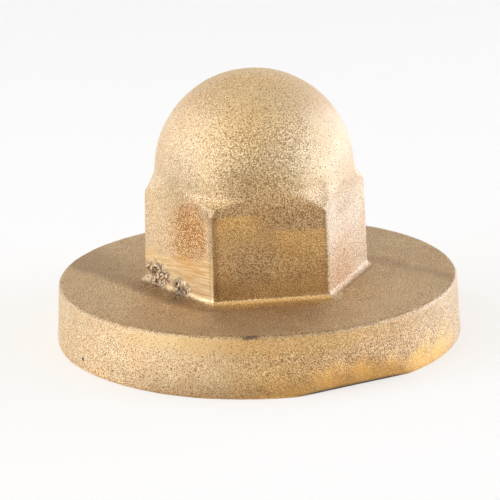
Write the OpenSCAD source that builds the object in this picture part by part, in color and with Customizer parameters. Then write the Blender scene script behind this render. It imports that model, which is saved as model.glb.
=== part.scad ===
// Flanged cap nut, sand-cast in bronze as one piece: a drafted hexagon under a round dome,
// on a wide round flange, with a blind tapped hole up the middle.
// The origin is the centre of the seat face, +Z runs up the nut's axis, and sizes are in millimetres.

/* [Flange] */
// Diameter of the flange at its foot
flange_d = 76; // [64:0.5:100]
// Thickness of the flange
flange_t = 11.2; // [8:0.1:16]
// Draft of the flange's wall, in degrees
flange_draft = 3.7; // [0.5:0.1:6]
// Radius along the flange's top edge
rim_round = 0.8; // [0.3:0.1:2]
// Radius along the flange's foot edge
foot_round = 0.4; // [0.2:0.1:1]

/* [Hexagon] */
// Width across the flats, level with the tops of the corners
across_flats = 35.8; // [32:0.1:42]
// Height of the tops of the corners above the flange
corner_h = 16.9; // [12:0.1:24]
// Draft of the flats, in degrees
hex_draft = 1.5; // [0.5:0.1:3]
// Radius along each upright edge
corner_round = 0.8; // [0.3:0.1:2]
// Radius of the fillet round the foot of the hexagon
hex_fillet = 1.2; // [0.5:0.1:3]

/* [Dome] */
// Diameter of the dome
dome_d = 36.9; // [33:0.1:40]
// Height of the dome's centre above the tops of the corners
dome_lift = 3.3; // [1:0.1:6]
// Slope of the shoulders between the corners and the dome, in degrees from level
shoulder_slope = 52; // [40:1:60]
// Radius of the hollow between the shoulders and the dome
shoulder_fillet = 2; // [0.5:0.1:4]

/* [Thread] */
// Nominal diameter of the thread
thread_d = 24; // [16:1:27]
// Pitch of the thread
thread_pitch = 3; // [1.5:0.25:3.5]
// Depth of the drilled hole, from the seat face to where its point starts
drill_depth = 34; // [24:0.5:38]
// Angle of the drill's point, in degrees
drill_point = 118; // [90:1:140]
// How far the countersink at the mouth is wider than the thread
mouth_margin = 1.6; // [0.5:0.1:4]
// Angle of the countersink at the mouth, in degrees
mouth_angle = 90; // [60:5:120]

/* [Gate facet] */
// Direction of the facet ground where the casting's gate was cut off, in degrees round the axis
gate_turn = 289.5; // [0:0.5:360]
// How far the facet is cut in at the foot of the flange
gate_cut = 1.8; // [0.8:0.1:3]
// Height of the facet up the flange's wall
gate_h = 5.2; // [3:0.1:7]

/* [Hidden] */
$fn = 96;

SIDES = 6;
// How far a solid reaches into its neighbour, so that the two fuse
BITE = 1;
// How far a blend starts inside the surface that it runs out on
SINK = 0.02;
// Straight steps in each rounded edge or fillet
ARC_STEPS = 6;

flange_r = flange_d / 2;
dome_r = dome_d / 2;
corner_z = flange_t + corner_h;
dome_z = corner_z + dome_lift;
corner_r = flats_r(corner_z) / cos(180 / SIDES);
// A tapping drill is the thread's diameter less its pitch
drill_r = (thread_d - thread_pitch) / 2;
mouth_r = (thread_d + mouth_margin) / 2;

// Distance from the axis to a flat, at height z
function flats_r(z) = across_flats / 2 + (corner_z - z) * tan(hex_draft);

// Radius of the flange's wall at height z
function wall_r(z) = flange_r - z * tan(flange_draft);

// Points of an arc in the plane, from one angle to another
function arc(centre, r, from, to) =
    [for (i = [0:ARC_STEPS]) let (a = from + (to - from) * i / ARC_STEPS) centre + r * [cos(a), sin(a)]];

// Outline of a hexagon with rounded corners, at height z, as points in space
function hexagon_ring(flats, round, z) =
    [for (side = [0:SIDES - 1])
        let (turn = side * 360 / SIDES, reach = (flats - round) / cos(180 / SIDES))
        for (p = arc(reach * [cos(turn), sin(turn)], round, turn - 180 / SIDES, turn + 180 / SIDES))
            [p.x, p.y, z]];

// Closed solid through a stack of rings with equal numbers of points, from the lowest ring to the highest
module loft(rings) {
    count = len(rings[0]);
    last = len(rings) - 1;
    points = [for (ring = rings) for (p = ring) p];
    walls = [for (j = [0:last - 1]) for (i = [0:count - 1])
        let (next = (i + 1) % count)
        [j * count + i, (j + 1) * count + i, (j + 1) * count + next, j * count + next]];
    foot = [for (i = [0:count - 1]) i];
    top = [for (i = [count - 1:-1:0]) last * count + i];
    polyhedron(points, concat([foot, top], walls), convexity = 4);
}

// Round flange with drafted walls and rounded edges
module flange() {
    top_r = wall_r(flange_t);
    rim_centre = [top_r - rim_round / cos(flange_draft) + rim_round * tan(flange_draft), flange_t - rim_round];
    foot_centre = [flange_r - foot_round / cos(flange_draft) - foot_round * tan(flange_draft), foot_round];
    rotate_extrude()
        polygon(concat(
            [[0, 0]],
            arc(foot_centre, foot_round, -90, flange_draft),
            arc(rim_centre, rim_round, flange_draft, 90),
            [[0, flange_t]]));
}

// Tilted block that grinds the gate's stub off the flange's foot
module gate_grinder() {
    lean = atan((wall_r(gate_h) - (flange_r - gate_cut)) / gate_h);
    block = flange_d;
    rotate(gate_turn)
        translate([flange_r - gate_cut, 0, 0])
            rotate([0, lean, 0])
                translate([0, -block / 2, -block / 2])
                    cube(block);
}

// Drafted hexagon with rounded upright edges and a fillet round its foot, left tall at the top
module hexagon() {
    fillet_z = flange_t - SINK;
    fillet_rings = [for (p = arc([hex_fillet, hex_fillet], hex_fillet, 270, 180))
        hexagon_ring(flats_r(fillet_z + p.y) + p.x, corner_round + p.x, fillet_z + p.y)];
    buried = hexagon_ring(flats_r(fillet_z) + hex_fillet, corner_round + hex_fillet, flange_t - BITE);
    top = hexagon_ring(flats_r(dome_z + BITE), corner_round, dome_z + BITE);
    loft(concat([buried], fillet_rings, [top]));
}

// Turned shape that trims the hexagon's corners to shoulders and hollows them up to the dome
module shoulder_trim() {
    up = [-cos(shoulder_slope), sin(shoulder_slope)];
    out = [sin(shoulder_slope), cos(shoulder_slope)];
    corner = [corner_r, corner_z];
    // The hollow's centre lies one hollow radius off the shoulder's line and touches the dome
    start = corner + shoulder_fillet * out - [0, dome_z];
    half = start * up;
    reach = -half - sqrt(half * half - start * start + pow(dome_r + shoulder_fillet, 2));
    hollow = corner + shoulder_fillet * out + reach * up;
    to_dome = [0, dome_z] - hollow;
    dome_angle = 180 + atan2(-to_dome.y, -to_dome.x);
    shoulder_angle = 180 + atan2(out.y, out.x);
    edge = corner - flange_r / cos(shoulder_slope) * up;
    hollow_arc = arc(hollow, shoulder_fillet, shoulder_angle, dome_angle);
    meets_dome = hollow + (shoulder_fillet + SINK) * to_dome / norm(to_dome);
    rotate_extrude()
        polygon(concat(
            [[0, edge.y], edge],
            [for (i = [0:ARC_STEPS - 1]) hollow_arc[i]],
            [meets_dome, [0, meets_dome.y]]));
}

// Blind tapped hole: countersunk mouth, drilled wall and the drill's point
module tapped_hole() {
    mouth_h = (mouth_r - drill_r) / tan(mouth_angle / 2);
    point_h = drill_r / tan(drill_point / 2);
    below = BITE / tan(mouth_angle / 2);
    translate([0, 0, -BITE])
        cylinder(r = drill_r, h = drill_depth + BITE);
    translate([0, 0, drill_depth])
        cylinder(r1 = drill_r, r2 = 0, h = point_h);
    translate([0, 0, -below])
        cylinder(r1 = mouth_r + BITE, r2 = drill_r, h = mouth_h + below);
}

// The whole casting, tapped
module cap_nut() {
    color("#c19a5b")
        difference() {
            union() {
                difference() {
                    flange();
                    gate_grinder();
                }
                intersection() {
                    hexagon();
                    shoulder_trim();
                }
                translate([0, 0, dome_z])
                    sphere(r = dome_r);
            }
            tapped_hole();
        }
}

cap_nut();
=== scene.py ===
"""Flanged cap nut, sand-cast in bronze: its looks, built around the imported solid."""

import math

import bmesh
import bpy
import numpy as np
from bpy.props import FloatProperty, FloatVectorProperty, PointerProperty
from bpy.types import Operator, Panel, PropertyGroup
from mathutils import Matrix, Vector, noise


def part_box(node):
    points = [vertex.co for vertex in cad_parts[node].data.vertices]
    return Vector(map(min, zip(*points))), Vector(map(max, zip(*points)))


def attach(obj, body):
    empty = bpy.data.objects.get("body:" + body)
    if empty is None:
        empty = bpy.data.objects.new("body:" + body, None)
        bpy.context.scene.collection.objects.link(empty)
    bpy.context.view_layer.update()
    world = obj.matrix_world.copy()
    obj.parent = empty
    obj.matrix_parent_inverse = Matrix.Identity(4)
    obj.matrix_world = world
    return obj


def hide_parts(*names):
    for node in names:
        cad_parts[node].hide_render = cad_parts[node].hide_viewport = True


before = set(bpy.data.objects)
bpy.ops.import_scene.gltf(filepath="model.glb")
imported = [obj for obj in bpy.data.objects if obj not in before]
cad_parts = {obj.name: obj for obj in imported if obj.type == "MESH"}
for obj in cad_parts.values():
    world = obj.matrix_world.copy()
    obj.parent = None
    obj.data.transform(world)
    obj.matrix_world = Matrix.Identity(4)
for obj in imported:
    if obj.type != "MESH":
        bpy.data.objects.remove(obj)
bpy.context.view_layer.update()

bl_info = {
    "name": "Cast Cap Nut",
    "version": (1, 0, 0),
    "blender": (4, 5, 0),
    "location": "View3D > Sidebar > Cap Nut",
    "description": "Builds a sand-cast bronze cap nut and the studio that it stands in",
    "category": "Add Mesh",
}

NODE = "cap_nut"
NODE_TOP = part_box(NODE)[1].z
MM = 0.001
SIDE = math.tau / 6
HALF_SIDE = SIDE / 2
QUARTER = math.pi / 2
UP = (0.0, 0.0, 1.0)
# Directions round the axis of the flats and corners in front, in degrees
LEFT_FLAT, LEFT_CORNER, FRONT_FLAT, RIGHT_CORNER, RIGHT_FLAT = 210, 240, 270, 300, 330
# Rows of faces in each stretch of the skin, from the shoulders to the seat
ROWS = {
    "shoulder": 26,
    "flat": 20,
    "rough_foot": 21,
    "fillet": 14,
    "inner_top": 8,
    "outer_top": 23,
    "rim": 6,
    "wall": 23,
    "foot": 4,
}
# Least tilt off the axis, in radians, and the columns of the dome's rings from there down
DOME_COLUMNS = ((0.7, 240), (0.32, 120), (0.1, 48), (0.0, 16))
FLANGE_COLUMNS = 420
THREAD_COLUMNS = 144
# Points closer than this are one point
MERGE_DISTANCE = 1e-7
SHARP_ANGLE = math.radians(40)
# Slot of the material that faces cut by a tool carry
CUT_SLOT = 1
# Tarnished spots on the dome and the left shoulder:
# centre, amount, and the distances from the centre where each starts and is full, in millimetres
TARNISH_SPOTS = (
    ((-14.7, -11.0, 33.0), 0.3, 7.5, 2.0),
    ((-5.0, -17.6, 32.8), 0.35, 5.0, 1.5),
    ((-11.8, -15.8, 28.3), 0.3, 2.6, 0.8),
    ((-10.4, -17.8, 27.4), 0.4, 2.6, 0.8),
)
# Masks that the mesh carries for the skin's material, painted light and shade among them
MASKS = (
    "filed", "burnt", "pit", "ground", "pale", "stain", "painted_highlight", "grainy", "contact_shadow", "warm", "tarnish_and_painted_shade",
)
# Tilt of the file's scratches on the left flat, in degrees
FILE_TILT = 6
# The paper's colour, the light that it adds where it is seen or mirrored, and the share of that light
PAPER = (0.98, 0.915, 0.775, 1.0)
PAPER_GLOW = (1.0, 0.985, 0.965, 1.0)
GLOW_SHARE = 0.6
# Tints of the softboxes
COOL = (0.84, 1.0, 1.5)
ICY = (0.83, 1.02, 1.64)
WHITE = (1.0, 1.0, 1.0)
WARM = (1.08, 1.02, 0.8)
# Height of the point that the softboxes face
LAMP_AIM = 0.02
# Name, turn from the front flat and rise above the floor in degrees,
# width and height in metres, brightness and tint of each softbox
SOFTBOXES = (
    ("left_low", -72, 11, 0.6, 0.5, 6.0, COOL),
    ("left_high", -98, 36, 0.52, 0.45, 2.6, COOL),
    ("left_back", -130, 18, 0.52, 0.6, 1.6, COOL),
    ("right_low", 80, 10, 0.52, 0.45, 4.6, ICY),
    ("right_side", 115, 9, 0.6, 0.45, 4.3, ICY),
    ("right_high", 60, 32, 0.7, 0.5, 2.1, ICY),
    ("right_back", 128, 36, 0.9, 0.45, 0.5, WHITE),
    ("top_left", -64, 54, 0.5, 0.4, 2.4, WARM),
    ("top_front", 4, 55, 1.1, 0.45, 1.4, WARM),
    ("top_back", 172, 62, 0.52, 0.45, 1.5, WHITE),
)


# Properties


def length(name, description, millimetres):
    """A length that the user sees in scene units."""
    return FloatProperty(
        name=name, description=description, default=millimetres * MM, min=0.0, unit="LENGTH", precision=4
    )


def angle(name, description, degrees):
    """An angle that the user sees in degrees."""
    return FloatProperty(
        name=name, description=description, default=math.radians(degrees), subtype="ANGLE", unit="ROTATION"
    )


def share(name, description, value):
    """A plain number from 0 to 1."""
    return FloatProperty(
        name=name, description=description, default=value, min=0.0, max=1.0, subtype="FACTOR"
    )


def strength(name, description, value):
    """A plain number from 0 up."""
    return FloatProperty(name=name, description=description, default=value, min=0.0)


def linear(level):
    """A screen level from 0 to 255 as linear light."""
    level /= 255
    return level / 12.92 if level <= 0.04045 else ((level + 0.055) / 1.055) ** 2.4


def colour(name, description, red, green, blue):
    """A colour, given in screen levels from 0 to 255."""
    return FloatVectorProperty(
        name=name,
        description=description,
        default=(linear(red), linear(green), linear(blue)),
        min=0.0,
        max=1.0,
        subtype="COLOR",
    )


class NutSizes(PropertyGroup):
    """Sizes of the casting: those of the solid that it stands for, then what is uneven in this one."""

    flange_radius: length("Flange radius", "Radius of the flange at its foot", 38.0)
    flange_height: length("Flange height", "Thickness of the flange", 11.2)
    flange_draft: angle("Flange draft", "Taper of the flange's wall", 3.7)
    rim_round: length("Rim round", "Radius along the flange's top edge", 0.8)
    foot_round: length("Foot round", "Radius along the flange's foot edge", 0.4)
    flats_radius: length("Flats radius", "Axis to a flat, level with the corners' tops", 17.9)
    corner_height: length("Corner height", "Height of the tops of the corners above the seat", 28.1)
    hex_draft: angle("Hexagon draft", "Taper of the flats", 1.5)
    corner_round: length("Corner round", "Radius along each upright edge", 0.8)
    hex_fillet: length("Hexagon fillet", "Radius of the fillet round the hexagon's foot", 1.2)
    dome_radius: length("Dome radius", "Radius of the dome", 18.45)
    shoulder_slope: angle("Shoulder slope", "Slope of the shoulders, from level", 52.0)
    shoulder_edge: length("Shoulder edge", "Width of the rounding along the shoulders' edges", 0.5)
    shoulder_hollow: length("Shoulder hollow", "Width of the blend from the hexagon to the dome", 1.2)
    thread_diameter: length("Thread diameter", "Nominal diameter of the thread", 24.0)
    thread_pitch: length("Thread pitch", "Pitch of the thread", 3.0)
    drill_depth: length("Drill depth", "Depth of the hole to where its point starts", 34.0)
    drill_point: angle("Drill point", "Angle of the drill's point", 118.0)
    mouth_margin: length("Mouth margin", "How far the countersink is wider than the thread", 1.6)
    gate_turn: angle("Gate turn", "Direction of the facet where the gate was ground off", 289.5)
    gate_cut: length("Gate cut", "How far the facet is cut in at the foot", 1.8)
    gate_height: length("Gate height", "Height of the facet up the wall", 5.2)
    gate_edge: length("Gate edge", "Width of the rounding along the facet's edge", 0.15)
    right_drop: length("Right drop", "How much lower the right front shoulder lies", 0.6)
    tip_drop: length("Tip drop", "How much lower the left front shoulder starts at its corner", 0.65)
    tip_slope: angle("Tip slope", "Slope of that shoulder below its ledge, from level", 64.0)
    ledge_inset: length("Ledge inset", "How far in from the corner its ledge starts", 0.55)
    ledge_lift: length("Ledge lift", "How far above the corner's height its ledge starts", 0.5)
    ledge_slope: angle("Ledge slope", "Slope of its ledge, from level", 37.0)
    ledge_edge: length("Ledge edge", "Width of the rounding along its ledge", 0.2)
    foot_dip: length("Foot dip", "How far the flange's top dips at the hexagon's front and left foot", 0.4)
    foot_spread: strength("Foot spread", "How much farther the fillet runs out there, in its radii", 1.5)
    foot_drop: share("Foot drop", "How much lower the fillet starts there, in its radii", 0.3)
    waviness: length("Waviness", "Height of the soft unevenness that the sand left", 0.07)
    lump_height: length("Lump height", "Height of the lumps in the burnt patch", 0.35)


class BronzeFinish(PropertyGroup):
    """Colours and grain of the casting's skin and of its cut faces."""

    light: colour("Light", "Bronze on the high places of the sand's print", 255, 231, 178)
    shade: colour("Shade", "Browner bronze in the low places of the sand's print", 186, 142, 78)
    # The warm colour also paints warm bounce light low on the flange's wall.
    warm: colour("Warm", "What a warm stain lets through of the colour under it", 243, 210, 160)
    # Painted sheen: this paler colour stands for bright light glancing off the right flat.
    pale: colour("Pale", "Paler skin on the right flat", 252, 234, 210)
    stain: colour("Stain", "Brown of the stain on the left flat and of specks all over", 146, 100, 44)
    # Tarnish and painted shade: this colour also lays painted shade and painted shadow bands on the flange
    # and the hexagon.
    tarnish_and_painted_shade: colour("Tarnish", "What tarnish lets through of the colour under it", 184, 170, 144)
    filed: colour("Filed", "Bronze that was filed bright", 255, 227, 166)
    filed_dark: colour("Filed dark", "Bronze in the scratches of the file", 224, 176, 94)
    ground: colour("Ground", "Fresh bronze where the gate was ground off", 255, 224, 132)
    ground_dark: colour("Ground dark", "Fresh bronze in the low places there", 242, 178, 82)
    crust: colour("Crust", "Pale lumps of the burnt patch", 246, 212, 166)
    burnt: colour("Burnt", "Burnt sand in the pits of the burnt patch", 68, 46, 34)
    # Painted contact shadow along the foot of the ground facet.
    contact_shadow: colour("Grime", "Dark grime along the foot of the ground facet", 34, 28, 24)
    cut: colour("Cut", "Bronze of the tapped hole and the seat", 224, 184, 116)
    grain_size: length("Grain size", "Width of a grain of the sand's print", 0.22)
    crumb_size: length("Crumb size", "Width of a crumb in the burnt patch", 0.5)
    grain_depth: length("Grain depth", "Depth of the sand's print", 0.09)
    file_spacing: length("File spacing", "Width of the scratches that the file left", 0.26)
    tool_spacing: length("Tool spacing", "Width of the rings that the tool left on cut faces", 0.5)
    tool_depth: length("Tool depth", "Depth of those rings", 0.06)
    roughness: share("Roughness", "Roughness of the skin", 0.64)
    filed_roughness: share("Filed roughness", "Roughness of the filed part", 0.5)
    metallic: share("Metallic", "How metallic the skin is", 1.0)
    film: share("Film", "Thin clear film that whitens the skin where bright light glances off it", 0.9)
    film_roughness: share("Film roughness", "Roughness of the film", 0.62)
    film_index: strength("Film index", "Index of refraction of the film", 1.5)


class StudioSettings(PropertyGroup):
    """Camera, lamps and floor."""

    azimuth: angle("Azimuth", "Turn of the camera round the nut, from the front flat", -7.5)
    elevation: angle("Elevation", "Height of the camera above the horizon", 17.2)
    roll: angle("Roll", "Turn of the camera about its line of sight", 1.73)
    distance: length("Distance", "Camera to the point that it aims beside", 371.6)
    lens: strength("Lens", "Focal length of the camera, in millimetres", 142.3)
    aim_height: length("Aim height", "Height of the point on the axis that the camera aims beside", 11.4)
    aim_right: length("Aim right", "How far that point lies right of the picture's middle", 1.395)
    aim_below: length("Aim below", "How far that point lies below the picture's middle", 3.9)
    lamps: strength("Lamps", "Brightness of all the softboxes", 1.0)
    ceiling: strength("Ceiling", "Brightness of the room's pale ceiling", 0.15)
    room: share("Room", "Brightness of the dim room below the ceiling", 0.1)


# Shape of the casting


def smooth_max(a, b, width):
    """The larger of a and b, with the crease between them rounded where they differ by less than width."""
    near = np.maximum(width - np.abs(a - b), 0) / width
    return np.maximum(a, b) + near * near * width / 4


def smooth_min(a, b, width):
    """The smaller of a and b, with the crease between them rounded."""
    return -smooth_max(-a, -b, width)


def smooth_step(none, full, value):
    """0 where a value is at none or beyond it, 1 at full or beyond it, and a soft rise between them."""
    t = np.clip((value - none) / (full - none), 0, 1)
    return t * t * (3 - 2 * t)


def facing(turn, centre, inner, outer):
    """1 within the inner angle of a direction and 0 beyond the outer one, all in degrees but the turn."""
    away = np.abs((turn - math.radians(centre) + math.pi) % math.tau - math.pi)
    return smooth_step(math.radians(outer), math.radians(inner), away)


def off_corner(turn):
    """Angle from the nearest corner of the hexagon. Corners lie on +X and every sixth of a turn."""
    return np.abs((turn + HALF_SIDE) % SIDE - HALF_SIDE)


def hexagon_radius(turn, flats, rounding):
    """Axis to the wall of a hexagon with rounded corners."""
    off = off_corner(turn)
    straight = flats / np.cos(HALF_SIDE - off)
    centre = (flats - rounding) / math.cos(HALF_SIDE)
    across = rounding**2 - (centre * np.sin(off)) ** 2
    corner = centre * np.cos(off) + np.sqrt(np.maximum(across, 0))
    arc_end = np.arctan2(rounding * math.sin(HALF_SIDE), centre + rounding * math.cos(HALF_SIDE))
    return np.where(off < arc_end, corner, straight)


def flats_at(sizes, height):
    """Axis to a flat at a height."""
    return sizes.flats_radius + (sizes.corner_height - height) * math.tan(sizes.hex_draft)


def dome_centre(sizes):
    """Height of the dome's centre, from the top of the solid."""
    return NODE_TOP - sizes.dome_radius


def shoulder_radius(sizes, turn, height):
    """Axis to the shoulders: an even slope, lower at the right front corner, stepped at the left one."""
    corner = sizes.flats_radius / math.cos(HALF_SIDE)
    rise = height - sizes.corner_height
    drop = sizes.right_drop * facing(turn, RIGHT_CORNER, 4, 26)
    even = corner - (rise + drop) / math.tan(sizes.shoulder_slope)
    tip = corner - (rise + sizes.tip_drop) / math.tan(sizes.tip_slope)
    ledge = corner - sizes.ledge_inset - (rise - sizes.ledge_lift) / math.tan(sizes.ledge_slope)
    stepped = smooth_min(tip, ledge, sizes.ledge_edge)
    return even + (stepped - even) * facing(turn, LEFT_CORNER, 14, 26)


def body_radius(sizes, turn, height):
    """Axis to the hexagon, its shoulders or the dome, whichever shows at a height."""
    hexagon = hexagon_radius(turn, flats_at(sizes, height), sizes.corner_round)
    shoulder = shoulder_radius(sizes, turn, height)
    rise = height - dome_centre(sizes)
    dome = np.sqrt(np.maximum(sizes.dome_radius**2 - rise**2, 0))
    block = smooth_min(hexagon, shoulder, sizes.shoulder_edge)
    # The dome shows alone from a little above its centre
    return np.where(rise > 4 * MM, dome, smooth_max(block, dome, sizes.shoulder_hollow))


def wall_radius(sizes, turn, height):
    """Axis to the flange's wall, with the ground facet taken off."""
    wall = sizes.flange_radius - height * math.tan(sizes.flange_draft)
    facet_foot = sizes.flange_radius - sizes.gate_cut
    facet_top = sizes.flange_radius - sizes.gate_height * math.tan(sizes.flange_draft)
    facet = facet_foot + (facet_top - facet_foot) * height / sizes.gate_height
    # More than 60 degrees off, the facet's plane is far outside the wall
    toward = np.maximum(np.cos(turn - sizes.gate_turn), 0.5)
    return smooth_min(wall, facet / toward, sizes.gate_edge)


def graded_turns(largest_steps):
    """Angles round the nut, close together at each corner and wider apart between them."""
    first, growth = math.radians(0.28), 1.25
    turns = []
    for half, largest in enumerate(largest_steps):
        widths = [first]
        while sum(widths) < HALF_SIDE:
            widths.append(min(widths[-1] * growth, largest))
        along = np.cumsum(widths) * HALF_SIDE / sum(widths)
        inside = np.concatenate([[0], along[:-1]])
        if half % 2:
            inside = HALF_SIDE - along[::-1]
        turns.append(half * HALF_SIDE + inside)
    return np.concatenate(turns)


def even_turns(count):
    """Equal steps round the nut."""
    return np.arange(count) * math.tau / count


def steps(start, stop, count):
    """Values after start, in equal steps as far as stop."""
    return np.linspace(start, stop, count + 1)[1:]


class Skin:
    """Rings of points joined into one closed skin, from the top of the dome to the end of the hole."""

    def __init__(self):
        self.points = []
        self.faces = []
        self.cut = []
        self.count = 0

    def add(self, points):
        """Adds points and gives the index of the first."""
        first = self.count
        self.points.append(points)
        self.count += len(points)
        return first

    def ring(self, turns, radius, height):
        """Adds a ring of points round the axis."""
        columns = np.broadcast_arrays(radius * np.cos(turns), radius * np.sin(turns), height)
        return self.add(np.column_stack(columns)), turns

    def face(self, corners, cut):
        """Adds a face, and whether a tool cut it."""
        self.faces.append(corners)
        self.cut.append(cut)

    def join(self, before, after, cut=False):
        """Joins two rings with four-cornered faces, or with triangles where their counts differ."""
        (a, turns_a), (b, turns_b) = before, after
        count_a, count_b = len(turns_a), len(turns_b)
        if count_a == count_b:
            for i in range(count_a):
                j = (i + 1) % count_a
                self.face((a + i, b + i, b + j, a + j), cut)
            return
        ends_a, ends_b = (np.append(turns[1:], (math.tau, math.inf)) for turns in (turns_a, turns_b))
        i = j = 0
        while i < count_a or j < count_b:
            corner_a, corner_b = a + i % count_a, b + j % count_b
            if ends_a[i] < ends_b[j]:
                self.face((corner_a, corner_b, a + (i + 1) % count_a), cut)
                i += 1
            else:
                self.face((corner_a, corner_b, b + (j + 1) % count_b), cut)
                j += 1

    def stack(self, rings, cut=False):
        """Joins each ring to the next."""
        for before, after in zip(rings, rings[1:]):
            self.join(before, after, cut)

    def tip(self, height, ring, top, cut=False):
        """Closes a ring with a fan of triangles to a point on the axis."""
        first, turns = ring
        point = self.add(np.array([[0.0, 0.0, height]]))
        for i in range(len(turns)):
            j = (i + 1) % len(turns)
            corners = (point, first + i, first + j) if top else (first + i, point, first + j)
            self.face(corners, cut)


def dome_rings(skin, sizes):
    """The dome, from its top down to just above the shoulders."""
    rings = []
    step, foot = math.radians(1.6), math.radians(86.5)
    for tilt in np.arange(step, foot, step):
        turns = even_turns(next(columns for least, columns in DOME_COLUMNS if tilt > least))
        height = dome_centre(sizes) + sizes.dome_radius * math.cos(tilt)
        rings.append(skin.ring(turns, body_radius(sizes, turns, height), height))
    return rings


def body_rings(skin, sizes, turns):
    """The shoulders and the flats, from the dome's foot down to the fillet."""
    top = dome_centre(sizes) + 0.5 * MM
    shoulder_foot = sizes.corner_height - 1.2 * MM
    rough_top = sizes.flange_height + 6.5 * MM
    foot = sizes.flange_height + sizes.hex_fillet
    heights = [
        *np.linspace(top, shoulder_foot, ROWS["shoulder"], endpoint=False),
        *np.linspace(shoulder_foot, rough_top, ROWS["flat"], endpoint=False),
        *np.linspace(rough_top, foot, ROWS["rough_foot"] + 1),
    ]
    return [skin.ring(turns, body_radius(sizes, turns, height), height) for height in heights]


def front_foot(turns):
    """1 round the front and left foot of the hexagon, where the fillet runs farther out and lies lower."""
    return facing(turns, 243, 50, 75)


def flange_top(sizes, turns, radius):
    """Height of the flange's top, which dips a little toward the hexagon in front."""
    return sizes.flange_height - sizes.foot_dip * front_foot(turns) * smooth_step(30 * MM, 21.5 * MM, radius)


def fillet_rings(skin, sizes, turns):
    """The fillet from the flats out to the flange's top."""
    rings = []
    front = front_foot(turns)
    top = sizes.flange_height + sizes.hex_fillet * (1 - sizes.foot_drop * front)
    low = flange_top(sizes, turns, 20 * MM)
    for bend in steps(0, QUARTER, ROWS["fillet"]):
        out = sizes.hex_fillet * (1 - math.cos(bend)) * (1 + sizes.foot_spread * front)
        height = top - (top - low) * math.sin(bend)
        radius = hexagon_radius(turns, flats_at(sizes, height) + out, sizes.corner_round + out)
        rings.append(skin.ring(turns, radius, height))
    return rings


def flange_rings(skin, sizes, inner):
    """The flange's top, rim, wall and foot, from the fillet out and down to the seat."""
    first, turns = inner
    start = np.linalg.norm(np.concatenate(skin.points)[first : first + len(turns), :2], axis=1)
    # Inside this radius the rings follow the hexagon's columns
    near = 25.0 * MM
    rings = []
    for part in steps(0, 1, ROWS["inner_top"]):
        radius = start + (near - start) * part
        rings.append(skin.ring(turns, radius, flange_top(sizes, turns, radius)))
    turns = even_turns(FLANGE_COLUMNS)
    tilt, rim, foot = sizes.flange_draft, sizes.rim_round, sizes.foot_round
    rim_height = sizes.flange_height - rim
    wall_top = rim_height + rim * math.sin(tilt)
    rim_centre = wall_radius(sizes, turns, wall_top) - rim * math.cos(tilt)
    for radius in steps(near, rim_centre.min(), ROWS["outer_top"])[:-1]:
        rings.append(skin.ring(turns, radius, flange_top(sizes, turns, radius)))
    for bend in np.linspace(QUARTER, tilt, ROWS["rim"] + 1):
        rings.append(skin.ring(turns, rim_centre + rim * math.cos(bend), rim_height + rim * math.sin(bend)))
    for height in steps(wall_top, foot, ROWS["wall"]):
        rings.append(skin.ring(turns, wall_radius(sizes, turns, height), height))
    foot_centre = wall_radius(sizes, turns, foot) - foot
    for bend in steps(0, QUARTER, ROWS["foot"]):
        rings.append(skin.ring(turns, foot_centre + foot * math.cos(bend), foot * (1 - math.sin(bend))))
    return rings


def thread_profile(sizes):
    """Steps of one turn of the thread: share of a pitch, and share of the thread's depth."""
    depth = sizes.thread_pitch / 2
    flank_angle = math.radians(30)
    flank = depth * math.tan(flank_angle) / sizes.thread_pitch
    root = 1 / 8
    crest = 1 - root - 2 * flank
    marks = [0, crest / 2, crest, crest + flank / 2, crest + flank, crest + flank + root / 2]
    marks += [crest + flank + root, crest + 1.5 * flank + root]
    return list(zip(marks, [0, 0, 0, 0.5, 1, 1, 1, 0.5]))


def tapped_hole(skin, sizes, seat_ring):
    """The seat, the countersunk mouth, the thread's helix and the drill's point."""
    pitch, depth = sizes.thread_pitch, sizes.drill_depth
    drill = (sizes.thread_diameter - pitch) / 2
    mouth = (sizes.thread_diameter + sizes.mouth_margin) / 2
    run_out = 2 * pitch
    turns = np.linspace(0, math.tau, THREAD_COLUMNS + 1)
    profile = thread_profile(sizes)
    rows = []
    for whole in range(-1, math.ceil(depth / pitch) + 1):
        for part, deep in profile:
            z = np.clip((whole + part + turns / math.tau) * pitch, 0, depth)
            fade = smooth_step(0, run_out, depth - z)
            radius = np.maximum(drill + deep * fade * pitch / 2, mouth - z)
            points = np.column_stack([radius * np.cos(turns), radius * np.sin(turns), z])
            rows.append(skin.add(points))
    for low, high in zip(rows, rows[1:]):
        for i in range(THREAD_COLUMNS):
            skin.face((low + i, high + i, high + i + 1, low + i + 1), True)
    mouth_ring = skin.ring(turns[:-1], mouth, 0.0)
    skin.join(seat_ring, mouth_ring, True)
    end_ring = skin.ring(turns[:-1], drill, depth)
    skin.tip(depth + drill / math.tan(sizes.drill_point / 2), end_ring, False, True)


def nut_skin(sizes):
    """Every ring of the nut, joined. The columns lie closer on the left flat, for its burnt patch."""
    wide, close = math.radians(0.95), math.radians(0.5)
    turns = graded_turns([wide] * 6 + [close] * 2 + [wide] * 4)
    skin = Skin()
    dome = dome_rings(skin, sizes)
    skin.tip(NODE_TOP, dome[0], True)
    body = body_rings(skin, sizes, turns)
    fillet = fillet_rings(skin, sizes, turns)
    flange = flange_rings(skin, sizes, fillet[-1])
    skin.stack(dome + body + fillet + flange)
    tapped_hole(skin, sizes, flange[-1])
    return skin


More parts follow.
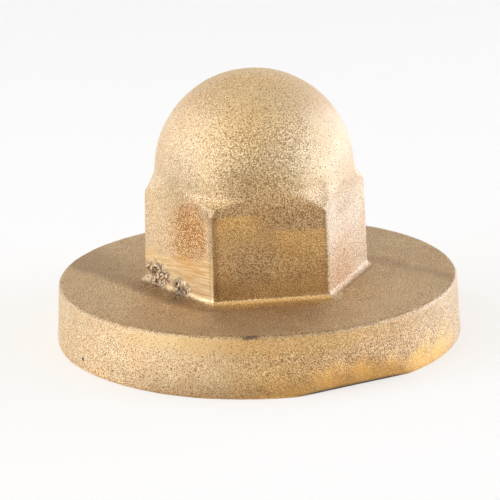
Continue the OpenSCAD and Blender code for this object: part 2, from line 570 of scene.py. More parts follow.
def nut_mesh(sizes):
    """The nut's mesh, with the points that coincide merged."""
    skin = nut_skin(sizes)
    mesh = bpy.data.meshes.new("cap_nut_cast")
    mesh.from_pydata(np.concatenate(skin.points), [], skin.faces)
    mesh.polygons.foreach_set("material_index", np.array(skin.cut, dtype=np.int32) * CUT_SLOT)
    work = bmesh.new()
    work.from_mesh(mesh)
    bmesh.ops.remove_doubles(work, verts=work.verts, dist=MERGE_DISTANCE)
    work.to_mesh(mesh)
    work.free()
    mesh.shade_smooth()
    mesh.set_sharp_from_angle(angle=SHARP_ANGLE)
    return mesh


# Marks on the skin, and painted light and shade, as masks over the skin, with every length in millimetres


def flat_places(sizes, points, direction):
    """Along, up and off the flat that faces a direction in degrees."""
    toward = math.radians(direction)
    out = np.array([math.cos(toward), math.sin(toward)])
    along = np.array([-out[1], out[0]])
    off = points[:, :2] @ out - flats_at(sizes, points[:, 2])
    return points[:, :2] @ along / MM, (points[:, 2] - sizes.flange_height) / MM, off / MM


def noise_at(points, size, place):
    """Soft noise from about -1 to 1, with lumps of about one size in the points' own unit."""
    shift = Vector((place, place * 1.7, place * 0.6))
    fall_off, gap, octaves = 1.0, 2.0, 2
    return np.array([noise.fractal(Vector(p) / size + shift, fall_off, gap, octaves) for p in points])


def blob(across, up, centre, reach):
    """1 in the middle of an oval, 0 from its edge out."""
    away = np.hypot((across - centre[0]) / reach[0], (up - centre[1]) / reach[1])
    return 1 - smooth_step(0.3, 1.15, away)


def front_gold(across, up, wobble):
    """Golden skin on the front flat: it ends at an edge that steps down toward the right, and dims below."""
    edge = 12.9 + 3.1 * smooth_step(0.8, -2.2, across)
    up = up + wobble / 4
    below = smooth_step(0.3, -0.3, up - edge)
    beside = smooth_step(1, 4, np.abs(across + 0.6))
    upper = 0.4 * beside * smooth_step(-7, -0.5, up - edge)
    lower = 0.3 * smooth_step(6, 2, up)
    dim = blob(across, up, (-3.5, 7.0), (5.5, 4.5))
    return below * (0.45 + upper + lower) * (1 - 0.6 * dim)


def foot_fillet(flat, reach, low):
    """The fillet along a flat's foot, out to a reach and down to a height off the flange's top."""
    across, up, off = flat
    return (off > 0.1) & (off < reach) & (up > low) & (up < 1.3) & (np.abs(across) < 11)


class Places:
    """Where each point of the skin lies, and the parts of the skin that more than one mask uses."""

    def __init__(self, sizes, points, normals):
        self.points, self.normals = points / MM, normals
        self.height = self.points[:, 2]
        self.radius = np.hypot(self.points[:, 0], self.points[:, 1])
        self.turn = np.arctan2(points[:, 1], points[:, 0])
        self.wobble = noise_at(self.points, 3, place=3.0)
        self.left, self.front, self.right = (
            flat_places(sizes, points, direction) for direction in (LEFT_FLAT, FRONT_FLAT, RIGHT_FLAT)
        )
        top, wall = sizes.flange_height / MM, sizes.flange_radius / MM
        inside = wall - self.height * math.tan(sizes.flange_draft) - self.radius
        self.on_wall = (self.height < top - 0.4) & (inside < 3)
        self.on_top = self.looking(UP, 0.8, 0.98) * (self.height < top + 1)
        self.wall_top = self.on_wall * smooth_step(6.5, 9.5, self.height + self.wobble)
        low_wall = smooth_step(6.5, 0.5, self.height + 2.5 * self.wobble)
        self.gate_band = self.on_wall * self.toward(296, 20, 46) * low_wall
        across, up, off = self.front
        on_flat = (np.abs(off) < 2) & (up > 0.3)
        self.on_front = self.looking((0.0, -1.0, 0.0), 0.9, 0.985) * on_flat * smooth_step(20, 15, up)
        self.golden = self.on_front * front_gold(across, up, self.wobble)
        self.front_fillet = foot_fillet(self.front, 3.0, -0.3)

    def toward(self, direction, inner, outer):
        """Skin that lies in a direction round the axis, in degrees."""
        return facing(self.turn, direction, inner, outer)

    def looking(self, direction, none, full):
        """Skin that looks in a direction: 0 from one cosine on and 1 from another."""
        return smooth_step(none, full, self.normals @ direction)

    def by_height(self, none, full):
        """0 from one height on and 1 from another."""
        return smooth_step(none, full, self.height)

    def near(self, point, none, full):
        """Skin round a point: 0 from one distance on and 1 from another."""
        return smooth_step(none, full, np.linalg.norm(self.points - point, axis=1))


def burnt_patch(places):
    """Two ragged spots of burnt sand at the foot of the left flat."""
    across, up, off = places.left
    close = (np.abs(off) < 3) & (np.abs(across) < 12) & (up > -0.6) & (up < 6)
    large = blob(across, up, (-6.6, 1.9), (5.0, 3.0))
    small = blob(across, up, (0.9, 1.2), (3.3, 2.1))
    burnt = np.zeros(len(up))
    ragged = 1 + 0.7 * noise_at(places.points[close], 1.6, place=9.0)
    burnt[close] = np.clip(np.maximum(large, small)[close] * ragged, 0, 1)
    return burnt


def left_flat_marks(places):
    """The filed lower part of the left flat and the brown stain over it."""
    across, up, off = places.left
    on_flat = (np.abs(off) < 1.6) & (np.abs(across) < 10.6) & (up > 0.3)
    limit = 7.0 + across * 0.08 + places.wobble
    filed = on_flat * smooth_step(1.3, -1.3, up - limit)
    stain = on_flat * blob(across, up, (4.0, 11.2), (7.6, 7.8)) * smooth_step(9.8, 8.0, across)
    return filed, stain


def fresh_bronze_and_highlight_mask(places):
    """Golden fresh bronze over the ground facet, a golden tone on the front flat and high on the wall, and a
    painted highlight along the front fillet.
    """
    return np.max(
        [
            places.gate_band,
            0.62 * places.golden,
            # Painted highlight: a golden line along the front fillet.
            0.5 * places.front_fillet,
            0.3 * places.wall_top * places.toward(262, 20, 50),
        ],
        axis=0,
    )


def painted_sheen_mask(places):
    """Painted sheen: the colour made paler high on the right flat and, more weakly, on the shoulder over it.
    """
    flat = places.looking((0.87, -0.5, 0.0), 0.75, 0.95)
    flat *= places.by_height(14, 24) * places.by_height(29, 27.5)
    shoulder = places.toward(334, 24, 29) * places.by_height(27.5, 29) * places.by_height(38, 33)
    return flat + 0.35 * shoulder


def painted_highlight_mask(places):
    """Painted highlights: the two front shoulders, the front fillet and two places on the dome, made
    lighter.
    """
    shoulders = np.maximum(places.toward(LEFT_CORNER, 16, 26), places.toward(RIGHT_CORNER, 16, 26))
    shoulders *= places.looking(UP, 0.25, 0.5) * (places.height > 26.5) * (places.height < 32.0)
    right_dome = places.near((9.5, -15.8, 32.6), 7.0, 1.5)
    upper_dome = places.near((-0.5, -11.0, 46.0), 9.0, 2.0)
    return np.max([0.35 * shoulders, 0.25 * places.front_fillet, right_dome, 0.6 * upper_dome], axis=0)


def grainy_mask(places):
    """How strongly the sand's print shows in the colour, painted weaker where bright light falls and
    stronger where it is dim: a half is its plain strength.
    """
    dome = places.by_height(29, 32) * (0.3 + 0.4 * places.looking((1.0, 0.0, 0.0), 0.2, 0.6))
    dome_front = places.looking((0.05, -0.94, 0.3), 0.75, 0.97) * (places.height > 29)
    left_wall = places.on_wall * places.toward(243, 10, 22)
    left_flat = places.looking((-0.87, -0.5, 0.0), 0.9, 0.97) * (places.height < 29) * (places.radius < 24)
    grainy = 1.0 + 0.9 * places.on_top - 0.4 * places.wall_top - dome + 0.65 * dome_front
    return (grainy - 0.4 * left_wall - 0.35 * left_flat) / 2


def contact_shadow_mask(places):
    """Painted contact shadow: a dark line along the foot of the ground facet."""
    return places.on_wall * places.toward(289, 11, 20) * places.by_height(0.55, 0.25)


def warm_stain_and_bounce_mask(places, stain):
    """Warm tint: painted warm bounce light low on the flange's wall, along its foot and round the ground
    facet; the left stain; the front flat; and low on the right flat.
    """
    across, up, off = places.right
    low_right = (np.abs(off) < 0.8) * blob(across, up, (-3.0, 3.5), (9.0, 8.0))
    wall_foot = smooth_step(2.6, 0.6, places.height + 0.5 * places.wobble)
    left_wall = places.toward(230, 10, 30) * places.by_height(7, 4)
    warm = np.max(
        [
            # Painted warm bounce light low on the wall: round the ground facet, along the foot and low on
            # the left.
            0.15 * places.gate_band,
            0.3 * places.on_wall * wall_foot,
            0.7 * stain,
            0.15 * places.on_wall * left_wall,
            0.3 * places.on_wall * places.toward(284, 15, 42),
            0.3 * places.on_front,
            0.5 * low_right,
        ],
        axis=0,
    )
    return np.clip(warm * (1 + 0.3 * places.wobble), 0, 1)


def beside_line(points, start, toward):
    """How far points lie off a line on the flange, counted toward the left of the line's direction."""
    along = Vector(toward).normalized()
    return (points[:, 1] - start[1]) * along.x - (points[:, 0] - start[0]) * along.y


def flange_shadow_bands(points):
    """Painted shadows on the flange's top behind the hexagon's left foot and in a band off its right foot.
    """
    left = beside_line(points, (-22.5, -6.8), (9.9, -15.0))
    left = smooth_step(-1.2, 1.2, left) * (0.09 + 0.38 * smooth_step(16, 2, left))
    right = beside_line(points, (23.1, 3.0), (11.0, -14.4))
    right = np.where(right > 0, 0.12, 0.1) + 0.24 * np.exp(-((right / 2.0) ** 2))
    return left * smooth_step(-8, -16, points[:, 0]) + right * smooth_step(12, 20, points[:, 0])


def flange_tarnish_and_shade(places):
    """Tarnish and painted shade on the flange: its top, darkened all over and more in front of the hexagon,
    with the painted shadow bands and a darker patch below the burnt patch; painted shade that dims the
    highlight on its rim; and its wall, darker toward the foot in front and a little on the right.
    """
    across, up, off = places.left
    # A darker patch on the flange along the left flat's foot, below the burnt patch.
    darkening = smooth_step(5, 0.5, off + 2 * places.wobble) * (off > 0) * (up < 0.5)
    darkening *= smooth_step(13, 9, np.abs(across))
    # Painted shade over the top, deepest in front of the hexagon, with the painted shadow bands.
    top = 0.42 + flange_shadow_bands(places.points) + 0.25 * places.toward(262, 20, 60) + 0.24 * darkening
    # Painted shade that dims the rim's highlight.
    rim = places.looking(UP, 0.15, 0.5) * places.looking(UP, 0.995, 0.9) * (places.radius > 36)
    # Painted shade, darker toward the wall's foot in front.
    wall = 0.55 * places.toward(265, 25, 55) * places.by_height(5, 0.8) + 0.12 * places.toward(325, 15, 45)
    return places.on_top * top + 0.4 * rim + places.on_wall * wall


def hexagon_tarnish_and_shade(places):
    """Tarnish and painted shade on the hexagon: its front flat, darker toward its foot; painted shade over
    the highlights of its front edges; its right fillet and a ridge above that.
    """
    across, up = places.front[:2]
    dull = blob(across, up, (-8.0, 1.6), (5.0, 3.0))
    flat = 0.29 - 0.24 * places.golden + 0.25 * dull + 0.2 * smooth_step(7, 3, up)
    # Painted shade over the highlights of the two front upright edges.
    edges = 0.45 * places.toward(240.2, 1.2, 3.5) + 0.2 * places.toward(300.3, 1.0, 3.0)
    edges *= smooth_step(0.8, 3, up) * (up < 16) * (places.radius < 24)
    fillet = foot_fillet(places.right, 1.4, 0.0)
    ridge = places.toward(303.5, 2, 6) * places.by_height(26, 27.5) * places.by_height(33, 30.5)
    return places.on_front * flat + edges + 0.3 * fillet + 0.3 * ridge


def tarnish_and_shade_mask(places):
    """All the tarnish and painted shade, a little uneven."""
    tarnish_and_painted_shade = flange_tarnish_and_shade(places) + hexagon_tarnish_and_shade(places)
    for centre, amount, none, full in TARNISH_SPOTS:
        tarnish_and_painted_shade += amount * places.near(centre, none, full)
    return np.clip(tarnish_and_painted_shade + 0.12 * (tarnish_and_painted_shade > 0) * places.wobble, 0, 1)


def marks_and_painted_light(sizes, points, normals):
    """Every mask over the skin but the pits, by name."""
    places = Places(sizes, points, normals)
    burnt = burnt_patch(places)
    filed, stain = left_flat_marks(places)
    return {
        "filed": filed * (1 - burnt),
        "burnt": burnt,
        "ground": fresh_bronze_and_highlight_mask(places),
        "pale": painted_sheen_mask(places),
        "stain": np.clip(stain * (1 + 0.5 * places.wobble), 0, 1),
        "painted_highlight": painted_highlight_mask(places),
        "grainy": grainy_mask(places),
        "contact_shadow": contact_shadow_mask(places),
        "warm": warm_stain_and_bounce_mask(places, stain),
        "tarnish_and_painted_shade": tarnish_and_shade_mask(places),
    }


def roughen(sizes, mesh):
    """Moves the points off the smooth form: the sand's waviness, and lumps and pits in the burnt patch."""
    count = len(mesh.vertices)
    points = np.empty(count * 3)
    normals = np.empty(count * 3)
    mesh.vertices.foreach_get("co", points)
    mesh.vertex_normals.foreach_get("vector", normals)
    points, normals = points.reshape(-1, 3), normals.reshape(-1, 3)
    cut = np.zeros(count, dtype=bool)
    for polygon in mesh.polygons:
        if polygon.material_index == CUT_SLOT:
            cut[list(polygon.vertices)] = True
    marks = marks_and_painted_light(sizes, points, normals)
    wave = noise_at(points, 9 * MM, place=1.0) + 0.5 * noise_at(points, 2.6 * MM, place=5.0)
    calm = 1 - 0.7 * np.maximum(marks["filed"], marks["ground"])
    move = np.where(cut, 0, wave * sizes.waviness * calm)
    burnt = marks["burnt"]
    rough = np.nonzero(burnt > 0.02)[0]
    lumps = noise_at(points[rough], 0.8 * MM, place=7.0)
    move[rough] += burnt[rough] * lumps * sizes.lump_height
    marks["pit"] = np.zeros(count)
    marks["pit"][rough] = burnt[rough] * smooth_step(0.2, -0.3, lumps)
    points += normals * move[:, None]
    mesh.vertices.foreach_set("co", points.ravel())
    for name in MASKS:
        layer = mesh.attributes.new(name, "FLOAT", "POINT")
        layer.data.foreach_set("value", marks[name].astype(np.float32))
    mesh.update()


# Materials


def add_node(tree, kind, inputs=None, **settings):
    """Adds a node, with its settings and with each input set to a value or linked to a socket."""
    made = tree.nodes.new(kind)
    for key, value in settings.items():
        setattr(made, key, value)
    for key, value in (inputs or {}).items():
        if isinstance(value, bpy.types.NodeSocket):
            tree.links.new(value, made.inputs[key])
        else:
            made.inputs[key].default_value = value
    return made


def math_node(tree, operation, a, b=0.0, c=0.0, clamp=False):
    """The result of a sum, product or the like of values."""
    made = add_node(tree, "ShaderNodeMath", {0: a, 1: b, 2: c}, operation=operation, use_clamp=clamp)
    return made.outputs[0]


def times(tree, a, b, clamp=False):
    """The product of two values."""
    return math_node(tree, "MULTIPLY", a, b, clamp=clamp)


def vector_math(tree, operation, a, b=(0.0, 0.0, 0.0)):
    """The outputs of a sum, product, length or the like of vectors."""
    return add_node(tree, "ShaderNodeVectorMath", {0: a, 1: b}, operation=operation).outputs


def blend_colours(tree, factor, a, b, blend="MIX"):
    """Colour a mixed with colour b."""
    made = add_node(tree, "ShaderNodeMix", {"Factor": factor}, data_type="RGBA", blend_type=blend)
    # The mix node's sockets for colours are 6 and 7, and its colour comes out at 2
    for index, value in ((6, a), (7, b)):
        if isinstance(value, bpy.types.NodeSocket):
            tree.links.new(value, made.inputs[index])
        else:
            made.inputs[index].default_value = (*value, 1.0)
    return made.outputs[2]


def cover(tree, base, mask, amount, paint, blend="MIX"):
    """A colour laid over the base where a mask shows, at an amount of the mask."""
    return blend_colours(tree, times(tree, mask, amount), base, paint, blend)


def spread(tree, value, low, high, to_low=0.0, to_high=1.0):
    """A value stretched from one range to another and kept inside it."""
    made = add_node(
        tree,
        "ShaderNodeMapRange",
        {"Value": value, "From Min": low, "From Max": high, "To Min": to_low, "To Max": to_high},
        interpolation_type="SMOOTHSTEP",
    )
    return made.outputs[0]


def noise_node(tree, vector, scale, detail=2.0, roughness=0.5):
    """Noise at a scale, as a value."""
    made = add_node(
        tree,
        "ShaderNodeTexNoise",
        {"Vector": vector, "Scale": scale, "Detail": detail, "Roughness": roughness},
    )
    return made.outputs["Fac"]


def attribute(tree, name):
    """A mask that the mesh carries."""
    return add_node(tree, "ShaderNodeAttribute", attribute_name=name).outputs["Fac"]


def new_group(name, inputs, outputs):
    """An empty shader node group with named inputs and outputs."""
    group = bpy.data.node_groups.new(name, "ShaderNodeTree")
    for label, kind, default in inputs:
        socket = group.interface.new_socket(label, in_out="INPUT", socket_type=kind)
        if default is not None:
            socket.default_value = default
    for label in outputs:
        group.interface.new_socket(label, in_out="OUTPUT", socket_type="NodeSocketFloat")
    return group, add_node(group, "NodeGroupInput").outputs, add_node(group, "NodeGroupOutput")


def sand_grain_group():
    """The print of moulding sand: its height, its tone from dark to light, broad patches and dark specks."""
    group, given, result = new_group(
        "Sand Grain",
        [("Vector", "NodeSocketVector", None), ("Grain", "NodeSocketFloat", 0.5 * MM)],
        ("Height", "Tone", "Patches", "Specks"),
    )
    vector = given["Vector"]
    scale = math_node(group, "DIVIDE", 1.0, given["Grain"])
    fine = noise_node(group, vector, scale, detail=1.0, roughness=0.6)
    coarse = noise_node(group, vector, times(group, scale, 0.3))
    patches = noise_node(group, vector, times(group, scale, 0.03), detail=3.0)
    specks = noise_node(group, vector, times(group, scale, 0.8), detail=0.0)
    height = math_node(group, "MULTIPLY_ADD", fine, 0.8, times(group, coarse, 0.2))
    group.links.new(height, result.inputs["Height"])
    group.links.new(spread(group, fine, 0.34, 0.66), result.inputs["Tone"])
    group.links.new(spread(group, patches, 0.3, 0.7), result.inputs["Patches"])
    group.links.new(spread(group, specks, 0.64, 0.76), result.inputs["Specks"])
    return group


def tool_marks_group():
    """Fine scratches along the X axis of the vector given."""
    group, given, result = new_group(
        "Tool Marks",
        [("Vector", "NodeSocketVector", None), ("Spacing", "NodeSocketFloat", 0.4 * MM)],
        ("Height",),
    )
    scale = math_node(group, "DIVIDE", 1.0, given["Spacing"])
    drawn = vector_math(group, "MULTIPLY", given["Vector"], (0.04, 1.0, 1.0))[0]
    lines = noise_node(group, drawn, scale, detail=3.0, roughness=0.65)
    group.links.new(lines, result.inputs["Height"])
    return group


def place_group(tree, group, inputs):
    """Places a node group with its own values, and gives its outputs."""
    return add_node(tree, "ShaderNodeGroup", inputs, node_tree=group).outputs


def new_material(name):
    """A material, its nodes and its shader."""
    material = bpy.data.materials.new(name)
    material.use_nodes = True
    tree = material.node_tree
    return material, tree, tree.nodes["Principled BSDF"]


def turned(tree, vector, degrees, tilt):
    """A vector in axes turned about Z, then tilted about Y."""
    for axis, turn in (("Z_AXIS", -degrees), ("Y_AXIS", tilt)):
        inputs = {"Vector": vector, "Angle": math.radians(turn)}
        vector = add_node(tree, "ShaderNodeVectorRotate", inputs, rotation_type=axis).outputs[0]
    return vector


def near_point(tree, place, point, reach, stretch=(1.0, 1.0, 1.0)):
    """A mask of the skin close to a point, in millimetres. Stretch below 1 lengthens it along an axis."""
    offset = vector_math(tree, "SUBTRACT", place, [value * MM for value in point])[0]
    scaled = vector_math(tree, "MULTIPLY", offset, stretch)[0]
    away = vector_math(tree, "LENGTH", scaled)["Value"]
    return spread(tree, away, reach * MM, 0.4 * reach * MM)


def add_bump(tree, shader, height, amount, depth):
    """Bends the shader's normals by a height."""
    bump = add_node(tree, "ShaderNodeBump", {"Strength": amount, "Distance": depth, "Height": height})
    tree.links.new(bump.outputs[0], shader.inputs["Normal"])


def printed_colour(tree, finish, masks, grain):
    """Skin that is light and dark with the sand's print, with painted highlights and painted sheen laid over
    it, and its tone.
    """
    around = times(tree, math_node(tree, "SUBTRACT", grain["Tone"], 0.5), masks["grainy"])
    tone = math_node(tree, "MULTIPLY_ADD", around, 2.0, 0.5, clamp=True)
    base = blend_colours(tree, tone, finish.shade, finish.light)
    # Painted highlights: lighter bronze on the front shoulders, the front fillet and two places on the dome.
    base = cover(tree, base, masks["painted_highlight"], 0.4, finish.light)
    # Painted sheen: a paler colour high on the right flat and the shoulder over it.
    return cover(tree, base, masks["pale"], 0.25, finish.pale), tone


def worked_colour(tree, finish, masks, grain, lines, base, tone):
    """The brown stain, the filed part, patches, specks and golden fresh bronze, with a painted highlight
    along the front fillet, over the printed skin.
    """
    brown = times(tree, masks["stain"], spread(tree, grain["Tone"], 0.1, 0.7, 0.75, 0.0))
    base = blend_colours(tree, brown, base, finish.stain)
    clean = blend_colours(tree, spread(tree, lines, 0.35, 0.65), finish.filed_dark, finish.filed)
    base = cover(tree, base, masks["filed"], 0.9, clean)
    base = cover(tree, base, grain["Patches"], 0.25, finish.warm, "MULTIPLY")
    specks = times(tree, grain["Specks"], spread(tree, masks["filed"], 0.0, 1.0, 0.9, 0.15))
    base = blend_colours(tree, specks, base, finish.stain)
    fresh = blend_colours(tree, tone, finish.ground_dark, finish.ground)
    # Golden fresh bronze, with a painted highlight along the front fillet.
    return cover(tree, base, masks["ground"], 0.95, fresh)


def stained_and_shaded_colour(tree, finish, masks, grain, crumbs, base):
    """Warm stains with painted warm bounce light, tarnish with painted shade, and the burnt patch, with its
    crust and holes, over the worked skin.
    """
    speckled = times(tree, masks["warm"], spread(tree, grain["Tone"], 0.0, 1.0, 1.5, 0.5), clamp=True)
    # Warm stains, with painted warm bounce light low on the flange's wall.
    base = blend_colours(tree, speckled, base, finish.warm, "MULTIPLY")
    # Tarnish, with painted shade and painted shadows on the flange and the hexagon.
    base = blend_colours(tree, masks["tarnish_and_painted_shade"], base, finish.tarnish_and_painted_shade, "MULTIPLY")
    base = cover(tree, base, masks["burnt"], 0.52, finish.crust)
    holes = times(tree, masks["burnt"], spread(tree, crumbs["Tone"], 0.6, 0.2))
    holes = math_node(tree, "MAXIMUM", holes, times(tree, masks["pit"], 0.7))
    return blend_colours(tree, holes, base, finish.burnt)


def spotted_colour(tree, finish, masks, grain, place, base):
    """A darker patch beside the burnt patch, a pinhole and a smear on the flange's edge, and the painted
    contact shadow over it all.
    """
    # A darker patch on the flange beside the burnt patch, with a trail toward the front.
    darkening = near_point(tree, place, (-16.6, -12.4, 11.2), 2.6, (0.55, 0.8, 1.0))
    trail = near_point(tree, place, (-12.6, -19.4, 11.2), 1.8, (0.6, 1.0, 1.0))
    darkening = math_node(tree, "MULTIPLY_ADD", trail, 0.5, darkening)
    darkening = times(tree, darkening, spread(tree, grain["Height"], 0.6, 0.42))
    base = blend_colours(tree, times(tree, darkening, 0.55, clamp=True), base, finish.burnt)
    pinhole = near_point(tree, place, (-34.2, -16.3, 2.2), 0.55)
    smear = near_point(tree, place, (-6.4, -36.5, 11.0), 0.5, (0.22, 1.0, 1.0))
    spots = math_node(tree, "MAXIMUM", pinhole, times(tree, smear, 0.7))
    base = blend_colours(tree, spots, base, finish.burnt)
    # Painted contact shadow along the foot of the ground facet.
    return blend_colours(tree, masks["contact_shadow"], base, finish.contact_shadow)


def skin_material(finish, grain_group, marks_group):
    """The sand-cast skin, with its filed, stained and burnt places."""
    material, tree, shader = new_material("cast_bronze_skin")
    masks = {name: attribute(tree, name) for name in MASKS}
    filed, burnt = masks["filed"], masks["burnt"]
    place = add_node(tree, "ShaderNodeTexCoord").outputs["Object"]
    grain = place_group(tree, grain_group, {"Vector": place, "Grain": finish.grain_size})
    crumbs = place_group(tree, grain_group, {"Vector": place, "Grain": finish.crumb_size})
    along_flat = turned(tree, place, LEFT_FLAT + 90, FILE_TILT)
    lines = place_group(tree, marks_group, {"Vector": along_flat, "Spacing": finish.file_spacing})["Height"]
    base, tone = printed_colour(tree, finish, masks, grain)
    base = worked_colour(tree, finish, masks, grain, lines, base, tone)
    base = stained_and_shaded_colour(tree, finish, masks, grain, crumbs, base)
    base = spotted_colour(tree, finish, masks, grain, place, base)
    tree.links.new(base, shader.inputs["Base Color"])
    shader.inputs["Metallic"].default_value = finish.metallic
    dull = math_node(tree, "MAXIMUM", burnt, times(tree, masks["stain"], 0.5))
    tree.links.new(spread(tree, dull, 0.0, 0.6, finish.film, 0.0), shader.inputs["Coat Weight"])
    shader.inputs["Coat Roughness"].default_value = finish.film_roughness
    shader.inputs["Coat IOR"].default_value = finish.film_index
    roughness = spread(tree, filed, 0.0, 1.0, finish.roughness, finish.filed_roughness)
    tree.links.new(roughness, shader.inputs["Roughness"])
    height = times(tree, grain["Height"], spread(tree, filed, 0.0, 1.0, 1.0, 0.3))
    height = math_node(tree, "MULTIPLY_ADD", times(tree, lines, filed), 0.6, height)
    height = math_node(tree, "MULTIPLY_ADD", times(tree, crumbs["Height"], burnt), 3.0, height)
    add_bump(tree, shader, height, 1.0, finish.grain_depth)
    return material


def cut_material(finish, grain_group, marks_group):
    """Bronze that a tool has cut: the tapped hole, its mouth and the seat."""
    material, tree, shader = new_material("cut_bronze")
    place = add_node(tree, "ShaderNodeTexCoord").outputs["Object"]
    level = vector_math(tree, "MULTIPLY", place, (1.0, 1.0, 0.0))[0]
    out = vector_math(tree, "LENGTH", level)["Value"]
    rise = add_node(tree, "ShaderNodeSeparateXYZ", {0: place}).outputs["Z"]
    rings = add_node(tree, "ShaderNodeCombineXYZ", {"X": 0.0, "Y": out, "Z": rise}).outputs[0]
    lines = place_group(tree, marks_group, {"Vector": rings, "Spacing": finish.tool_spacing})["Height"]
    grain = place_group(tree, grain_group, {"Vector": place, "Grain": finish.grain_size * 2})
    base = blend_colours(tree, grain["Patches"], finish.cut, finish.filed_dark)
    tree.links.new(base, shader.inputs["Base Color"])
    shader.inputs["Metallic"].default_value = 1.0
    tree.links.new(spread(tree, lines, 0.3, 0.7, 0.28, 0.42), shader.inputs["Roughness"])
    add_bump(tree, shader, lines, 0.8, finish.tool_depth)
    return material


def paper_material():
    """White paper, which glows a little where the camera or a mirroring face sees it."""
    material, tree, shader = new_material("white_paper")
    shader.inputs["Base Color"].default_value = PAPER
    shader.inputs["Roughness"].default_value = 0.9
    light = add_node(tree, "ShaderNodeEmission", {"Color": PAPER_GLOW, "Strength": 1.0})
    path = add_node(tree, "ShaderNodeLightPath").outputs
    seen = math_node(tree, "MAXIMUM", path["Is Camera Ray"], path["Is Glossy Ray"])
    seen = math_node(tree, "MAXIMUM", seen, path["Is Transmission Ray"])
    shaders = {0: times(tree, seen, GLOW_SHARE), 1: shader.outputs[0], 2: light.outputs[0]}
    mixed = add_node(tree, "ShaderNodeMixShader", shaders)
    tree.links.new(mixed.outputs[0], tree.nodes["Material Output"].inputs["Surface"])
    return material


# Operators


class CAPNUT_OT_cast(Operator):
    """Build the cast nut and its bronze, in place of the plain solid"""

    bl_idname = "cap_nut.cast"
    bl_label = "Cast the Nut"

    def execute(self, context):
        sizes, finish = context.scene.nut_sizes, context.scene.bronze_finish
        mesh = nut_mesh(sizes)
        roughen(sizes, mesh)
        grain, marks = sand_grain_group(), tool_marks_group()
        mesh.materials.append(skin_material(finish, grain, marks))
        mesh.materials.append(cut_material(finish, grain, marks))
        nut = bpy.data.objects.new("cast_nut", mesh)
        context.scene.collection.objects.link(nut)
        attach(nut, "root")
        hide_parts(NODE)
        return {"FINISHED"}


def toward_view(turn, rise):
    """The direction from the nut to a lamp or camera, from its turn off the front flat and its rise."""
    return Vector((math.sin(turn) * math.cos(rise), -math.cos(turn) * math.cos(rise), math.sin(rise)))


def add_softbox(scene, name, direction, size, brightness, tint):
    """A large lamp, one metre off, that faces the nut. Brightness is its radiance."""
    toward = toward_view(*(math.radians(value) for value in direction))
    data = bpy.data.lights.new(name, "AREA")
    data.shape = "RECTANGLE"
    data.color = tint
    data.size, data.size_y = size
    data.energy = brightness * size[0] * size[1] * math.pi
    lamp = bpy.data.objects.new(name, data)
    lamp.location = Vector((0.0, 0.0, LAMP_AIM)) + toward
    lamp.rotation_mode = "QUATERNION"
    lamp.rotation_quaternion = (-toward).to_track_quat("-Z", "Y")
    scene.collection.objects.link(lamp)


def white_sweep(scene):
    """A floor that curves up into a backdrop behind the nut."""
    width, front, back, bend, top = 3.0, -1.6, 1.0, 0.5, 2.2
    profile = [(front, 0.0), (back, 0.0)]
    for t in steps(0, QUARTER, 12):
        profile.append((back + bend * math.sin(t), bend * (1 - math.cos(t))))
    profile.append((back + bend, top))
    points = [(x, y, z) for y, z in profile for x in (-width, width)]
    faces = [(2 * i, 2 * i + 1, 2 * i + 3, 2 * i + 2) for i in range(len(profile) - 1)]
    mesh = bpy.data.meshes.new("white_sweep")
    mesh.from_pydata(points, [], faces)
    mesh.shade_smooth()
    mesh.materials.append(paper_material())
    sweep = bpy.data.objects.new("white_sweep", mesh)
    scene.collection.objects.link(sweep)


def pale_room(scene, studio):
    """A world with a pale ceiling over a dimmer room."""
    world = bpy.data.worlds.new("pale_room")
    world.use_nodes = True
    tree = world.node_tree
    background = tree.nodes["Background"]
    direction = add_node(tree, "ShaderNodeTexCoord").outputs["Generated"]
    rise = add_node(tree, "ShaderNodeSeparateXYZ", {0: direction}).outputs["Z"]
    light = spread(tree, rise, 0.25, 0.6, studio.room, studio.ceiling)
    tree.links.new(light, background.inputs["Strength"])
    background.inputs["Color"].default_value = (*WHITE, 1.0)
    scene.world = world


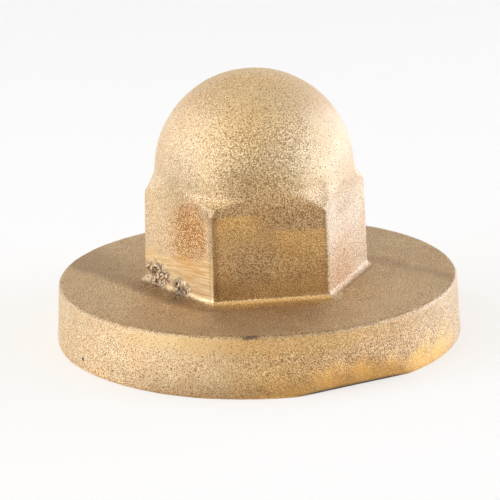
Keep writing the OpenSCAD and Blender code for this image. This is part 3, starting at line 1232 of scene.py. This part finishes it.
def add_camera(scene, studio):
    """A camera that sees the nut from the photographed side."""
    back = toward_view(studio.azimuth, studio.elevation)
    level = Vector((math.cos(studio.azimuth), math.sin(studio.azimuth), 0.0))
    upright = back.cross(level)
    right = level * math.cos(studio.roll) - upright * math.sin(studio.roll)
    up = level * math.sin(studio.roll) + upright * math.cos(studio.roll)
    axis_point = Vector((0.0, 0.0, studio.aim_height))
    place = axis_point + back * studio.distance
    aim = axis_point - right * studio.aim_right + up * studio.aim_below
    back = (place - aim).normalized()
    right = up.cross(back).normalized()
    up = back.cross(right)
    data = bpy.data.cameras.new("photo_camera")
    data.lens = studio.lens
    data.clip_start, data.clip_end = 0.01, 20.0
    camera = bpy.data.objects.new("photo_camera", data)
    camera.matrix_world = Matrix.Translation(place) @ Matrix((right, up, back)).transposed().to_4x4()
    scene.collection.objects.link(camera)
    scene.camera = camera


class CAPNUT_OT_studio(Operator):
    """Set up the white sweep, the softboxes, the room's dim light and the camera"""

    bl_idname = "cap_nut.studio"
    bl_label = "Set Up the Studio"

    def execute(self, context):
        scene, studio = context.scene, context.scene.studio_settings
        white_sweep(scene)
        for name, turn, rise, wide, high, brightness, tint in SOFTBOXES:
            add_softbox(scene, name, (turn, rise), (wide, high), brightness * studio.lamps, tint)
        pale_room(scene, studio)
        add_camera(scene, studio)
        scene.view_settings.view_transform = "Standard"
        return {"FINISHED"}


class CAPNUT_PT_panel(Panel):
    """Lists the sizes, the finish, the studio and the operators"""

    bl_idname = "CAPNUT_PT_panel"
    bl_label = "Cast Cap Nut"
    bl_space_type = "VIEW_3D"
    bl_region_type = "UI"
    bl_category = "Cap Nut"

    def draw(self, context):
        for operator in OPERATORS:
            self.layout.operator(operator.bl_idname)
        for name, group in SETTINGS.items():
            box = self.layout.box()
            for key in group.__annotations__:
                box.prop(getattr(context.scene, name), key)


SETTINGS = {"nut_sizes": NutSizes, "bronze_finish": BronzeFinish, "studio_settings": StudioSettings}
OPERATORS = (CAPNUT_OT_cast, CAPNUT_OT_studio)
CLASSES = (*SETTINGS.values(), *OPERATORS, CAPNUT_PT_panel)


def register():
    """Registers the classes and puts their settings on the scene."""
    for cls in CLASSES:
        bpy.utils.register_class(cls)
    for name, group in SETTINGS.items():
        setattr(bpy.types.Scene, name, PointerProperty(type=group))


def unregister():
    """Takes the settings and the classes away again."""
    for name in SETTINGS:
        delattr(bpy.types.Scene, name)
    for cls in reversed(CLASSES):
        bpy.utils.unregister_class(cls)


def main():
    """Builds the nut and the studio."""
    register()
    bpy.ops.cap_nut.cast()
    bpy.ops.cap_nut.studio()


if __name__ == "__main__":
    main()
